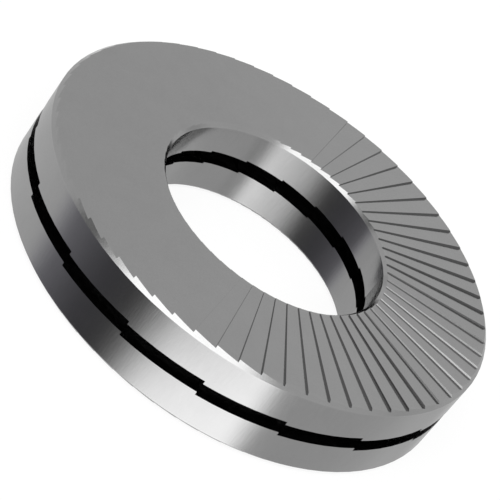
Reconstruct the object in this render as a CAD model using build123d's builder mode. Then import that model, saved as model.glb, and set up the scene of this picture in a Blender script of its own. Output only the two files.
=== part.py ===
from build123d import *
from math import radians, sin, tan
import os

# Wedge lock washer pair: two equal steel washers stand cam face to cam face on one axis.
# Millimetres and degrees. +Z is the washers' axis and z = 0 is the plane that the pair lies on.

# Driving dimensions of one washer
outer_diameter = 16.7
bore_diameter = 8.4            # clears a bolt of 8 mm
body_thickness = 1.24          # from the crests of the serrations to the foot of the cams
edge_chamfer = 0.16            # 45 degrees, round the rim and the bore of the serrated face

# Serrations of the outer face: shallow saw teeth with level feet and crests that rise to the rim
serration_count = 64
serration_slope = 5.1          # rise of each tooth from its foot
serration_line_offset = 0.44   # each step between two teeth passes the axis at this distance
serration_start = 1.335        # direction of the first step

# Wedge cams of the inner face: ramps with level feet and radial steps
cam_count = 18
cam_slope = 2.5                # rise of each ramp from its foot

# The pair
cam_clearance = 0.49           # axial distance between the facing ramps
adhesive_width = 2.05          # ring of adhesive between the cams, midway from the bore to the rim

# Worked out from the driving dimensions
outer_radius = outer_diameter / 2
bore_radius = bore_diameter / 2
middle_radius = (outer_radius + bore_radius) / 2
serration_pitch = 360 / serration_count
crest_end_radius = outer_radius - edge_chamfer
serration_height = crest_end_radius * sin(radians(serration_pitch)) * tan(radians(serration_slope))
cam_pitch = 360 / cam_count
cam_rise = outer_radius * sin(radians(cam_pitch)) * tan(radians(cam_slope))
lower_foot = body_thickness
upper_foot = lower_foot + cam_rise + cam_clearance
overcut = body_thickness / 2   # how far the cutting shapes run past what they cut


def sawtooth_cutter(pitch, rise):
    """Wedge that clears one tooth: it opens from the origin between X and a line one pitch on, and
    its floor is level along X, the tooth's foot, and rises from there to that line."""
    reach = outer_diameter
    tilt = rise if pitch > 0 else -rise
    with BuildPart() as cutter:
        with BuildSketch():
            with BuildLine():
                Polyline((0, 0), (reach, 0), (reach, reach * tan(radians(pitch))), close=True)
            make_face()
        extrude(amount=body_thickness, both=True)
        floor = Plane(origin=(0, 0, 0), x_dir=(1, 0, 0), z_dir=Vector(0, 0, 1).rotate(Axis.X, tilt))
        split(bisect_by=floor, keep=Keep.TOP)
    return cutter.part


# One washer, with the feet of its cams at z = 0, its cams below and its serrations on top
serration_cutter = sawtooth_cutter(-serration_pitch, serration_slope)
cam_cutter = sawtooth_cutter(cam_pitch, cam_slope)
with BuildPart() as washer:
    with BuildSketch(Plane.XZ):
        with BuildLine():
            Polyline(
                (bore_radius, -overcut),
                (outer_radius, -overcut),
                (outer_radius, body_thickness - edge_chamfer),
                (outer_radius - 2 * edge_chamfer, body_thickness + edge_chamfer),
                (bore_radius + 2 * edge_chamfer, body_thickness + edge_chamfer),
                (bore_radius, body_thickness - edge_chamfer),
                close=True,
            )
        make_face()
    revolve(axis=Axis.Z)

    # Neighbouring steps meet beside the axis, so each tooth's wedge starts there. The wedges clear
    # all that stands above the teeth, where the two chamfers run on.
    meeting_point = (
        serration_line_offset * tan(radians(serration_pitch / 2)),
        serration_line_offset,
        body_thickness - serration_height,
    )
    with PolarLocations(0, serration_count, start_angle=serration_start):
        with Locations(meeting_point):
            add(serration_cutter, mode=Mode.SUBTRACT)

    # The cams' wedges hang below the washer, so each ramp drops towards the step before it
    with PolarLocations(0, cam_count):
        with Locations(Location((0, 0, 0), (180, 0, 0))):
            add(cam_cutter, mode=Mode.SUBTRACT)

# The lower washer is the same piece turned over about the line of a cam step
with BuildPart() as lower_washer:
    with Locations(Location((0, 0, lower_foot), (180, 0, 0))):
        add(washer.part)

with BuildPart() as upper_washer:
    with Locations((0, 0, upper_foot)):
        add(washer.part)

# Ring of adhesive that holds the two washers together, moulded between the facing cams
with BuildPart() as adhesive_layer:
    with BuildSketch(Plane.XY.offset(lower_foot - overcut)):
        Circle(middle_radius + adhesive_width / 2)
        Circle(middle_radius - adhesive_width / 2, mode=Mode.SUBTRACT)
    extrude(amount=upper_foot - lower_foot + 2 * overcut)
    add(lower_washer.part, mode=Mode.SUBTRACT)
    add(upper_washer.part, mode=Mode.SUBTRACT)

os.makedirs("parts", exist_ok=True)
for name, piece in (
    ("lower_washer", lower_washer),
    ("upper_washer", upper_washer),
    ("adhesive_layer", adhesive_layer),
):
    piece.part.label = name
    export_step(piece.part, f"parts/{name}.step")
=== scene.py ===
"""Looks of the wedge lock washer pair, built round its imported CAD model. Lengths are in metres."""

from math import radians

import bpy
import numpy as np
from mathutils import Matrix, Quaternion, Vector


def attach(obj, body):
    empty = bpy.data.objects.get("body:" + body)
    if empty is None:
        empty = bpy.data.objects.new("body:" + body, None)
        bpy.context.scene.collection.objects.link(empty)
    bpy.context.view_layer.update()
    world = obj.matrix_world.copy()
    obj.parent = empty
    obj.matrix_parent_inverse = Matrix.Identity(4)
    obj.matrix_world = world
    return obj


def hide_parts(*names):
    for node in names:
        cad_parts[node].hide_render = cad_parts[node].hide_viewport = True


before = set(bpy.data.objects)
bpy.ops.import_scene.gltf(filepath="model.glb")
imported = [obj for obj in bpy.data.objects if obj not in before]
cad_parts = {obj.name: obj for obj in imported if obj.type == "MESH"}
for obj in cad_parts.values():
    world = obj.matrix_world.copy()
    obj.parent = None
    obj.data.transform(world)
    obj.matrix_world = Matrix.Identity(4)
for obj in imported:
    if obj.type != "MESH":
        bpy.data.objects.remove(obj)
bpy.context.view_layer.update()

MILLIMETRE = 0.001

# The photograph's view, in the CAD frame
CAMERA_PLACE = (-0.019928, -0.058387, 0.039804)
CAMERA_DIRECTION = (0.27327, 0.80344, -0.52898)
CAMERA_ROLL = 37.64            # degrees about the line of sight
CAMERA_LENS = 157.34           # millimetres
CAMERA_SENSOR = 36.0           # millimetres
CAMERA_NEAR = 0.001
CAMERA_FAR = 2.0

# The stage
FLOOR_SIDE = 0.6
FLOOR_WHITE = (0.9, 0.9, 0.9, 1.0)
FLOOR_SHADOW_SHARE = 0.12      # share of the floor's colour that light and shadow change

# The studio round the object, by azimuth from +X towards +Y and elevation above the floor, in degrees.
# Azimuths run from the seam once round. Each panel has a steady level, or a first and a last level
# with the azimuths between which it changes. Its sides are (lean, azimuth of none, azimuth of full)
# and its brims (lean, elevation of none, elevation of full). A later panel covers those before it.
BACKGROUND_LEVEL = 1.0
SURROUND_LEVEL = 0.97          # what dull surfaces get of the white background
FULL_TURN = 360.0
STUDIO_SEAM = 145.0
STUDIO_PANELS = (
    {
        "name": "dim back",
        "level": (0.87, 0.62, 374.0, 404.0),
        "sides": ((0.0, 296.0, 316.0), (0.0, 505.0, 445.0)),
        "brims": ((0.0, 16.0, -24.0),),
    },
    {
        "name": "bore flag, up to the seam",
        "level": (0.6, 0.74, 480.0, 495.0),
        "sides": ((0.0, 472.0, 482.0), (0.0, 506.0, 505.0)),
        "brims": ((0.0, -32.0, -28.5), (0.0, -15.0, -21.0)),
    },
    {
        "name": "back strip",
        "level": 1.7,
        "sides": ((0.0, 408.0, 428.0), (0.0, 462.0, 442.0)),
        "brims": ((0.0, -22.0, -12.0), (0.0, 12.0, 2.0)),
    },
    {
        "name": "back flag",
        "level": (0.76, 0.72, 420.0, 450.0),
        "sides": ((0.0, 366.0, 380.0), (0.0, 485.0, 473.0)),
        "brims": ((0.0, 10.0, 17.0), (0.0, 54.0, 47.0)),
    },
    {
        "name": "back wall",
        "level": (0.96, 0.93, 412.0, 430.0),
        "sides": ((0.0, 405.0, 415.0), (0.0, 455.0, 445.0)),
        "brims": ((0.0, 17.0, 22.0), (0.0, 50.0, 43.0)),
    },
    {
        "name": "low flag",
        "level": (0.40, 0.12, 166.0, 210.0),
        "sides": ((0.5, 142.5, 160.5), (-1.0, 287.0, 254.0)),
        "brims": ((0.0, 13.0, 2.0), (0.0, -80.0, -50.0)),
    },
    {
        "name": "bore flag, past the seam",
        "level": (0.74, 0.12, 163.0, 178.0),
        "sides": ((0.0, 145.0, 150.0), (0.0, 235.0, 215.0)),
        "brims": ((0.0, -32.0, -28.5), (0.0, -15.0, -21.0)),
    },
    {
        "name": "front strip",
        "level": (1.9, 1.6, 250.0, 285.0),
        "sides": ((0.0, 238.0, 258.0), (0.0, 300.0, 282.0)),
        "brims": ((0.0, -21.0, -12.0), (0.0, 13.0, 3.0)),
    },
    {
        "name": "low panel",
        "level": (3.9, 3.4, 250.0, 285.0),
        "sides": ((0.0, 224.0, 251.0), (1.3, 259.9, 244.9)),
        "brims": ((-0.16, -68.5, -83.5), (0.0, -64.0, -47.0)),
    },
    {
        "name": "low panel's frame",
        "level": 0.62,
        "sides": ((0.0, 293.0, 301.0), (0.0, 315.0, 309.0)),
        "brims": ((0.0, -32.5, -30.5), (0.0, -20.0, -24.0)),
    },
    {
        "name": "mid panel",
        "level": (0.6, 1.3, 211.0, 238.0),
        "sides": ((0.0, 187.0, 200.0), (0.0, 281.0, 267.0)),
        "brims": ((0.0, 8.0, 14.0), (0.0, 33.0, 26.0)),
    },
    {
        "name": "mid flag",
        "level": (0.6, 0.8, 300.0, 335.0),
        "sides": ((0.0, 269.0, 284.0), (0.0, 372.0, 352.0)),
        "brims": ((0.0, 8.0, 14.0), (0.0, 28.0, 22.0)),
    },
    {
        "name": "high flag",
        "level": 0.3,
        "sides": ((0.0, 157.0, 167.0), (0.0, 194.0, 184.0)),
        "brims": ((0.0, 35.0, 40.5), (0.0, 53.0, 46.0)),
    },
    {
        "name": "softbox head",
        "level": 3.6,
        "sides": ((1.5, 261.25, 293.25), (-0.8, 268.0, 237.0)),
        "brims": ((0.0, 35.5, 41.0), (0.0, 71.0, 62.0)),
    },
    {
        "name": "softbox core",
        "level": 10.0,
        "sides": ((0.0, 193.0, 238.0), (0.0, 292.0, 246.0)),
        "brims": ((0.0, 34.5, 39.5), (0.0, 49.0, 42.0)),
    },
)

# The metal catches a cool tint beside the low flag
PLAIN_WHITE = (1.0, 1.0, 1.0, 1.0)
COOL_TINT = {
    "colour": (0.99, 0.975, 1.07, 1.0),
    "sides": ((0.5, 142.5, 160.5), (0.0, 228.0, 205.0)),
    "brims": ((0.0, 5.0, -15.0),),
}

# Both finishes
GRAIN_DETAIL = 3.0
MOTTLE_DETAIL = 2.0
MIDDLE = 0.5                   # mean of the grain and of the mottle

# Finish of the steel. Sizes are in millimetres. A tone or a roughness after the name of an effect is
# what that effect adds at most.
RIM_RADIUS = 8.35
BORE_RADIUS = 4.2
WALL_REACH = 0.03              # how near to the rim or the bore the metal still has their finish
STEEL_TONE = 0.27
STEEL_GRAIN_TONE = 0.03
STEEL_MOTTLE_TONE = 0.02
STEEL_WEAR_TONE = 0.012
FACE_ROUGHNESS = 0.15
BORE_ROUGHNESS = 0.175
STEEL_GRAIN_ROUGHNESS = 0.06
STEEL_WEAR_ROUGHNESS = -0.02
FACE_GRAIN = 0.07
WALL_GRAIN = 0.05
WALL_STRETCH = (1.0, 1.0, 0.12)
STEEL_MOTTLE = 0.9
STEEL_GRAIN_DEPTH = 8e-7       # metres
WEAR_WIDTH = 0.07
WORN_SHARE = 0.2               # share of the width where the wear is full
WORN_EDGES = (                 # radius and height of each rubbed edge
    (RIM_RADIUS, 0.16),
    (RIM_RADIUS, 2.935),
    (8.19, 0.0),
    (8.19, 3.095),
    (BORE_RADIUS, 0.16),
    (BORE_RADIUS, 2.935),
    (4.33, 0.03),
    (4.33, 3.06),
)

# The bead of adhesive between the cams, and its finish. Sizes are in millimetres.
CAM_COUNT = 18
CAM_SLOPE = 2.5                # degrees
CAM_CLEARANCE = 0.49
LOWER_FOOT = 1.24              # height of the lower cams' feet
BEAD_INNER_RADIUS = 5.27
BEAD_OUTER_RADIUS = 7.28
BEAD_HOLLOW = 0.06             # how far each side draws in at half height
BEAD_STATIONS = 9              # sections of each ramp
BEAD_SIDE = 9                  # faces of a section's bottom, top and sides, each
BEAD_SHARP_ANGLE = 40.0        # degrees
BEAD_WAVES = (                 # waves round the ring, their height, and their first angle in radians
    (3, 0.009, 0.4),
    (7, 0.006, 1.9),
    (17, 0.003, 4.1),
)
BEAD_TURN = 2.6                # radians by which the outer side's waves are turned from the inner's
ADHESIVE_TONE = 0.009
ADHESIVE_GRAIN_TONE = 0.004
ADHESIVE_MOTTLE_TONE = 0.006
ADHESIVE_ROUGHNESS = 0.6
ADHESIVE_MOTTLE_ROUGHNESS = 0.3
ADHESIVE_SHINE = 0.2
ADHESIVE_GRAIN = 0.09
ADHESIVE_MOTTLE = 0.8
ADHESIVE_GRAIN_DEPTH = 1.5e-5  # metres


def node_tree_of(owner):
    """Empties the owner's node tree and returns it."""
    owner.use_nodes = True
    tree = owner.node_tree
    tree.nodes.clear()
    return tree


def add_node(tree, kind, **settings):
    """Adds one node with its settings."""
    node = tree.nodes.new(kind)
    for key, value in settings.items():
        setattr(node, key, value)
    return node


def feed(tree, source, target):
    """Links an output socket to an input socket."""
    tree.links.new(source, target)


def feed_or_set(tree, term, target):
    """Gives an input socket its term: the output socket that feeds it, or a plain number."""
    if isinstance(term, bpy.types.NodeSocket):
        feed(tree, term, target)
    else:
        target.default_value = term


def math_node(tree, operation, *terms):
    """Adds a Math node whose terms are sockets or plain numbers, and returns its output."""
    node = add_node(tree, "ShaderNodeMath", operation=operation)
    for place, term in enumerate(terms):
        feed_or_set(tree, term, node.inputs[place])
    return node.outputs[0]


def any_of(tree, first, *others):
    """Mask that is 1 where any of the masks is."""
    mask = first
    for other in others:
        mask = math_node(tree, "MAXIMUM", mask, other)
    return mask


def soft_edge(tree, value, none_at, full_at):
    """Goes smoothly from 0, where the value is none_at, to 1, where it is full_at, on either side."""
    node = add_node(tree, "ShaderNodeMapRange", interpolation_type="SMOOTHSTEP")
    feed(tree, value, node.inputs["Value"])
    node.inputs["From Min"].default_value = none_at
    node.inputs["From Max"].default_value = full_at
    return node.outputs["Result"]


def blend_towards(tree, level, mask, target):
    """Moves a level towards the target where the mask is 1."""
    node = add_node(tree, "ShaderNodeMix", data_type="FLOAT")
    feed(tree, mask, node.inputs["Factor"])
    feed_or_set(tree, level, node.inputs["A"])
    feed_or_set(tree, target, node.inputs["B"])
    return node.outputs[0]


def panel_mask(tree, azimuth, elevation, panel):
    """Soft edges of one panel multiplied. A side reads the azimuth plus its lean times the elevation,
    a brim reads the elevation plus its lean times the azimuth, and each edge goes from none to full."""
    mask = None
    for kind, first, second in (("sides", azimuth, elevation), ("brims", elevation, azimuth)):
        for lean, none_at, full_at in panel[kind]:
            place = math_node(tree, "MULTIPLY_ADD", second, lean, first)
            edge = soft_edge(tree, place, none_at, full_at)
            mask = edge if mask is None else math_node(tree, "MULTIPLY", mask, edge)
    return mask


def panel_level(tree, azimuth, level):
    """A steady level as it is, or one that goes from its first to its last between two azimuths."""
    if isinstance(level, float):
        return level
    first_level, last_level, ramp_from, ramp_to = level
    ramp = soft_edge(tree, azimuth, ramp_from, ramp_to)
    return blend_towards(tree, first_level, ramp, last_level)


def build_studio():
    """World that is white for the camera, metal and glass, with soft panels in front of it, round the
    object, that the camera itself doesn't see."""
    world = bpy.data.worlds.new("studio")
    bpy.context.scene.world = world
    tree = node_tree_of(world)
    direction = add_node(tree, "ShaderNodeTexCoord").outputs["Generated"]
    split = add_node(tree, "ShaderNodeSeparateXYZ")
    feed(tree, direction, split.inputs[0])
    x, y, z = split.outputs
    azimuth = math_node(tree, "DEGREES", math_node(tree, "ARCTAN2", y, x))
    azimuth = math_node(tree, "WRAP", azimuth, STUDIO_SEAM + FULL_TURN, STUDIO_SEAM)
    elevation = math_node(tree, "DEGREES", math_node(tree, "ARCSINE", z))
    rays = add_node(tree, "ShaderNodeLightPath").outputs
    shown = any_of(tree, rays["Is Camera Ray"], rays["Is Glossy Ray"], rays["Is Transmission Ray"])
    level = blend_towards(tree, SURROUND_LEVEL, shown, BACKGROUND_LEVEL)
    for panel in STUDIO_PANELS:
        own_level = panel_level(tree, azimuth, panel["level"])
        mask = panel_mask(tree, azimuth, elevation, panel)
        level = blend_towards(tree, level, mask, own_level)
    strength = blend_towards(tree, level, rays["Is Camera Ray"], BACKGROUND_LEVEL)
    tint = add_node(tree, "ShaderNodeMix", data_type="RGBA")
    feed(tree, panel_mask(tree, azimuth, elevation, COOL_TINT), tint.inputs["Factor"])
    tint.inputs["A"].default_value = PLAIN_WHITE
    tint.inputs["B"].default_value = COOL_TINT["colour"]
    background = add_node(tree, "ShaderNodeBackground")
    feed(tree, tint.outputs["Result"], background.inputs["Color"])
    feed(tree, strength, background.inputs["Strength"])
    output = add_node(tree, "ShaderNodeOutputWorld")
    feed(tree, background.outputs[0], output.inputs["Surface"])


def build_floor():
    """White floor that keeps a faint shadow. Through it the metal shows the white background and the
    panels below, as it does in the photograph. From underneath the floor is clear."""
    half = FLOOR_SIDE / 2
    mesh = bpy.data.meshes.new("floor")
    mesh.from_pydata(
        [(-half, -half, 0.0), (half, -half, 0.0), (half, half, 0.0), (-half, half, 0.0)],
        [],
        [(0, 1, 2, 3)],
    )
    floor = bpy.data.objects.new("floor", mesh)
    bpy.context.scene.collection.objects.link(floor)
    material = bpy.data.materials.new("floor_white")
    tree = node_tree_of(material)
    rays = add_node(tree, "ShaderNodeLightPath").outputs
    matt = add_node(tree, "ShaderNodeBsdfDiffuse")
    matt.inputs["Color"].default_value = FLOOR_WHITE
    glow = add_node(tree, "ShaderNodeEmission")
    clear = add_node(tree, "ShaderNodeBsdfTransparent")
    shown_white = any_of(tree, rays["Is Camera Ray"], rays["Is Transmission Ray"])
    glow_share = math_node(tree, "MULTIPLY", shown_white, 1.0 - FLOOR_SHADOW_SHARE)
    shown = add_node(tree, "ShaderNodeMixShader")
    feed(tree, glow_share, shown.inputs[0])
    feed(tree, matt.outputs[0], shown.inputs[1])
    feed(tree, glow.outputs[0], shown.inputs[2])
    underneath = add_node(tree, "ShaderNodeNewGeometry").outputs["Backfacing"]
    unseen = any_of(tree, rays["Is Glossy Ray"], rays["Is Shadow Ray"], underneath)
    surface = add_node(tree, "ShaderNodeMixShader")
    feed(tree, unseen, surface.inputs[0])
    feed(tree, shown.outputs[0], surface.inputs[1])
    feed(tree, clear.outputs[0], surface.inputs[2])
    output = add_node(tree, "ShaderNodeOutputMaterial")
    feed(tree, surface.outputs[0], output.inputs["Surface"])
    mesh.materials.append(material)


def build_camera():
    """Camera at the photograph's place, turned about its line of sight as the photograph is."""
    camera = bpy.data.objects.new("camera", bpy.data.cameras.new("camera"))
    camera.location = CAMERA_PLACE
    camera.rotation_mode = "QUATERNION"
    aim = Vector(CAMERA_DIRECTION).to_track_quat("-Z", "Y")
    camera.rotation_quaternion = aim @ Quaternion((0.0, 0.0, 1.0), radians(CAMERA_ROLL))
    camera.data.lens = CAMERA_LENS
    camera.data.sensor_width = CAMERA_SENSOR
    camera.data.clip_start = CAMERA_NEAR
    camera.data.clip_end = CAMERA_FAR
    bpy.context.scene.collection.objects.link(camera)
    bpy.context.scene.camera = camera


def new_group(name, inputs, outputs):
    """Makes an empty shader node group and returns it with its inner input and output nodes."""
    group = bpy.data.node_groups.new(name, "ShaderNodeTree")
    for label, kind in inputs:
        group.interface.new_socket(label, in_out="INPUT", socket_type=kind)
    for label, kind in outputs:
        group.interface.new_socket(label, in_out="OUTPUT", socket_type=kind)
    return group, group.nodes.new("NodeGroupInput"), group.nodes.new("NodeGroupOutput")


def build_grain():
    """Group of an uneven surface: fine Grain and broad Mottle from 0 to 1, from a Place in millimetres
    and the sizes of the grains and of the mottle."""
    group, source, result = new_group(
        "surface_grain",
        (("Place", "NodeSocketVector"), ("Size", "NodeSocketFloat"), ("Mottle Size", "NodeSocketFloat")),
        (("Grain", "NodeSocketFloat"), ("Mottle", "NodeSocketFloat")),
    )
    for label, size, detail in (("Grain", "Size", GRAIN_DETAIL), ("Mottle", "Mottle Size", MOTTLE_DETAIL)):
        noise = add_node(group, "ShaderNodeTexNoise")
        noise.inputs["Detail"].default_value = detail
        feed(group, source.outputs["Place"], noise.inputs["Vector"])
        feed(group, math_node(group, "DIVIDE", 1.0, source.outputs[size]), noise.inputs["Scale"])
        feed(group, noise.outputs["Fac"], result.inputs[label])
    return group


def build_edge_wear():
    """Group of worn edges of a turned piece: the mask is full on circles round the axis, of given radius
    and height, fades out a Width away, and is broken up by the Grain."""
    group, source, result = new_group(
        "edge_wear",
        (
            ("Radius", "NodeSocketFloat"),
            ("Height", "NodeSocketFloat"),
            ("Width", "NodeSocketFloat"),
            ("Grain", "NodeSocketFloat"),
        ),
        (("Wear", "NodeSocketFloat"),),
    )
    nearest = None
    for radius, height in WORN_EDGES:
        across = math_node(group, "SUBTRACT", source.outputs["Radius"], radius)
        along = math_node(group, "SUBTRACT", source.outputs["Height"], height)
        squares = math_node(group, "MULTIPLY", across, across)
        squares = math_node(group, "MULTIPLY_ADD", along, along, squares)
        nearest = squares if nearest is None else math_node(group, "MINIMUM", nearest, squares)
    share = math_node(group, "DIVIDE", math_node(group, "SQRT", nearest), source.outputs["Width"])
    rubbed = soft_edge(group, share, 1.0, WORN_SHARE)
    feed(group, math_node(group, "MULTIPLY", rubbed, source.outputs["Grain"]), result.inputs["Wear"])
    return group


def place_in_millimetres(tree):
    """Object coordinates in millimetres, with the distance from the washers' axis and the height."""
    coordinates = add_node(tree, "ShaderNodeTexCoord").outputs["Object"]
    place = add_node(tree, "ShaderNodeVectorMath", operation="SCALE")
    feed(tree, coordinates, place.inputs["Vector"])
    place.inputs["Scale"].default_value = 1 / MILLIMETRE
    split = add_node(tree, "ShaderNodeSeparateXYZ")
    feed(tree, place.outputs[0], split.inputs[0])
    x, y, height = split.outputs
    squares = math_node(tree, "MULTIPLY_ADD", x, x, math_node(tree, "MULTIPLY", y, y))
    return place.outputs[0], math_node(tree, "SQRT", squares), height


def grain_node(tree, group, place, size, mottle_size, stretch=(1.0, 1.0, 1.0)):
    """Places the grain group in a material. The stretch draws the grains out along an axis."""
    mapping = add_node(tree, "ShaderNodeMapping")
    feed(tree, place, mapping.inputs["Vector"])
    mapping.inputs["Scale"].default_value = stretch
    node = add_node(tree, "ShaderNodeGroup", node_tree=group)
    feed(tree, mapping.outputs[0], node.inputs["Place"])
    node.inputs["Size"].default_value = size
    node.inputs["Mottle Size"].default_value = mottle_size
    return node.outputs["Grain"], node.outputs["Mottle"]


def steady_sum(tree, level, *parts):
    """A level plus, for each part, its amount times how far its value is from its middle."""
    total = level
    for value, middle, amount in parts:
        offset = math_node(tree, "SUBTRACT", value, middle)
        total = math_node(tree, "MULTIPLY_ADD", offset, amount, total)
    return total


def bumped(tree, height, depth):
    """Normal of a surface whose height, from 0 to 1, stands for a depth in metres."""
    bump = add_node(tree, "ShaderNodeBump")
    bump.inputs["Strength"].default_value = 1.0
    bump.inputs["Distance"].default_value = depth
    feed(tree, height, bump.inputs["Height"])
    return bump.outputs["Normal"]


def grey(tree, value):
    """Colour of equal red, green and blue."""
    node = add_node(tree, "ShaderNodeCombineColor")
    for channel in node.inputs:
        feed(tree, value, channel)
    return node.outputs[0]


def washer_steel(grain_group, wear_group):
    """Satin plated steel: an even grey with a fine grain, drawn out along the axis on the punched rim
    and bore, a rougher bore, and edges rubbed a little brighter."""
    material = bpy.data.materials.new("washer_steel_satin")
    tree = node_tree_of(material)
    place, radius, height = place_in_millimetres(tree)
    face_grain, mottle = grain_node(tree, grain_group, place, FACE_GRAIN, STEEL_MOTTLE)
    wall_grain, _ = grain_node(tree, grain_group, place, WALL_GRAIN, STEEL_MOTTLE, WALL_STRETCH)
    bore = soft_edge(tree, radius, BORE_RADIUS + WALL_REACH, BORE_RADIUS)
    rim = soft_edge(tree, radius, RIM_RADIUS - WALL_REACH, RIM_RADIUS)
    wall = math_node(tree, "MAXIMUM", bore, rim)
    grain = blend_towards(tree, face_grain, wall, wall_grain)
    wear_node = add_node(tree, "ShaderNodeGroup", node_tree=wear_group)
    feed(tree, radius, wear_node.inputs["Radius"])
    feed(tree, height, wear_node.inputs["Height"])
    feed(tree, mottle, wear_node.inputs["Grain"])
    wear_node.inputs["Width"].default_value = WEAR_WIDTH
    wear = wear_node.outputs["Wear"]
    shader = add_node(tree, "ShaderNodeBsdfPrincipled")
    tone = steady_sum(
        tree,
        STEEL_TONE,
        (grain, MIDDLE, STEEL_GRAIN_TONE),
        (mottle, MIDDLE, STEEL_MOTTLE_TONE),
        (wear, 0.0, STEEL_WEAR_TONE),
    )
    feed(tree, grey(tree, tone), shader.inputs["Base Color"])
    shader.inputs["Metallic"].default_value = 1.0
    roughness = blend_towards(tree, FACE_ROUGHNESS, bore, BORE_ROUGHNESS)
    roughness = steady_sum(
        tree,
        roughness,
        (grain, MIDDLE, STEEL_GRAIN_ROUGHNESS),
        (wear, 0.0, STEEL_WEAR_ROUGHNESS),
    )
    feed(tree, roughness, shader.inputs["Roughness"])
    feed(tree, bumped(tree, grain, STEEL_GRAIN_DEPTH), shader.inputs["Normal"])
    output = add_node(tree, "ShaderNodeOutputMaterial")
    feed(tree, shader.outputs[0], output.inputs["Surface"])
    return material


def adhesive_black(grain_group):
    """Black adhesive, dull, with a grainy, slightly uneven skin."""
    material = bpy.data.materials.new("adhesive_black")
    tree = node_tree_of(material)
    place, _, _ = place_in_millimetres(tree)
    grain, mottle = grain_node(tree, grain_group, place, ADHESIVE_GRAIN, ADHESIVE_MOTTLE)
    shader = add_node(tree, "ShaderNodeBsdfPrincipled")
    tone = steady_sum(
        tree,
        ADHESIVE_TONE,
        (grain, MIDDLE, ADHESIVE_GRAIN_TONE),
        (mottle, MIDDLE, ADHESIVE_MOTTLE_TONE),
    )
    feed(tree, grey(tree, tone), shader.inputs["Base Color"])
    roughness = steady_sum(tree, ADHESIVE_ROUGHNESS, (mottle, MIDDLE, ADHESIVE_MOTTLE_ROUGHNESS))
    feed(tree, roughness, shader.inputs["Roughness"])
    shader.inputs["Specular IOR Level"].default_value = ADHESIVE_SHINE
    feed(tree, bumped(tree, grain, ADHESIVE_GRAIN_DEPTH), shader.inputs["Normal"])
    output = add_node(tree, "ShaderNodeOutputMaterial")
    feed(tree, shader.outputs[0], output.inputs["Surface"])
    return material


def uneven(angle, turn):
    """Sum of sine waves round the ring, each turned by its first angle plus the given turn."""
    return sum(height * np.sin(count * angle + first + turn) for count, height, first in BEAD_WAVES)


def adhesive_bead(material):
    """Closed ring of adhesive that fills the space between the facing cams.

    At an angle u past a step and a distance r from the axis, the lower cams stand at the foot plus
    r sin(u) tan(slope), and the upper ones hang at their foot minus r sin(pitch - u) tan(slope). Each
    side of the ring is a circle with small waves that draws in by hollow 4 v (1 - v) at the share v
    of the height. A section runs out along the bottom, up the outer side, back along the top and
    down the inner side, and each step has two sections, one for either ramp."""
    pitch = 2 * np.pi / CAM_COUNT
    rise = np.tan(np.radians(CAM_SLOPE))
    upper_foot = LOWER_FOOT + RIM_RADIUS * np.sin(pitch) * rise + CAM_CLEARANCE
    past_step = np.tile(np.linspace(0.0, pitch, BEAD_STATIONS), CAM_COUNT)[:, None]
    angle = np.repeat(np.arange(CAM_COUNT) * pitch, BEAD_STATIONS)[:, None] + past_step
    share = np.arange(BEAD_SIDE) / BEAD_SIDE
    full, none = np.ones(BEAD_SIDE), np.zeros(BEAD_SIDE)
    across = np.concatenate((share, full, 1 - share, none))[None, :]
    up = np.concatenate((none, share, full, 1 - share))[None, :]
    hollow = BEAD_HOLLOW * 4 * up * (1 - up)
    inner = BEAD_INNER_RADIUS + uneven(angle, 0.0) + hollow
    outer = BEAD_OUTER_RADIUS + uneven(angle, BEAD_TURN) - hollow
    radius = inner + (outer - inner) * across
    bottom = LOWER_FOOT + radius * np.sin(past_step) * rise
    top = upper_foot - radius * np.sin(pitch - past_step) * rise
    height = bottom + (top - bottom) * up
    points = np.stack((radius * np.cos(angle), radius * np.sin(angle), height), axis=-1) * MILLIMETRE
    rows, columns = radius.shape
    number = np.arange(rows * columns).reshape(rows, columns)
    onward = np.roll(number, -1, axis=0)
    corners = (number, onward, np.roll(onward, -1, axis=1), np.roll(number, -1, axis=1))
    faces = np.stack(corners, axis=-1)
    mesh = bpy.data.meshes.new("adhesive_bead")
    mesh.from_pydata(points.reshape(-1, 3).tolist(), [], faces.reshape(-1, 4).tolist())
    mesh.polygons.foreach_set("use_smooth", np.ones(rows * columns, dtype=bool))
    mesh.set_sharp_from_angle(angle=radians(BEAD_SHARP_ANGLE))
    mesh.materials.append(material)
    bead = bpy.data.objects.new("adhesive_bead", mesh)
    bpy.context.scene.collection.objects.link(bead)
    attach(bead, "root")
    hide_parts("adhesive_layer")


bpy.context.scene.view_settings.view_transform = "Standard"
build_camera()
build_studio()
build_floor()
grain_group = build_grain()
steel = washer_steel(grain_group, build_edge_wear())
for name in ("lower_washer", "upper_washer"):
    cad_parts[name].material_slots[0].material = steel
adhesive_bead(adhesive_black(grain_group))

bpy.context.view_layer.update()
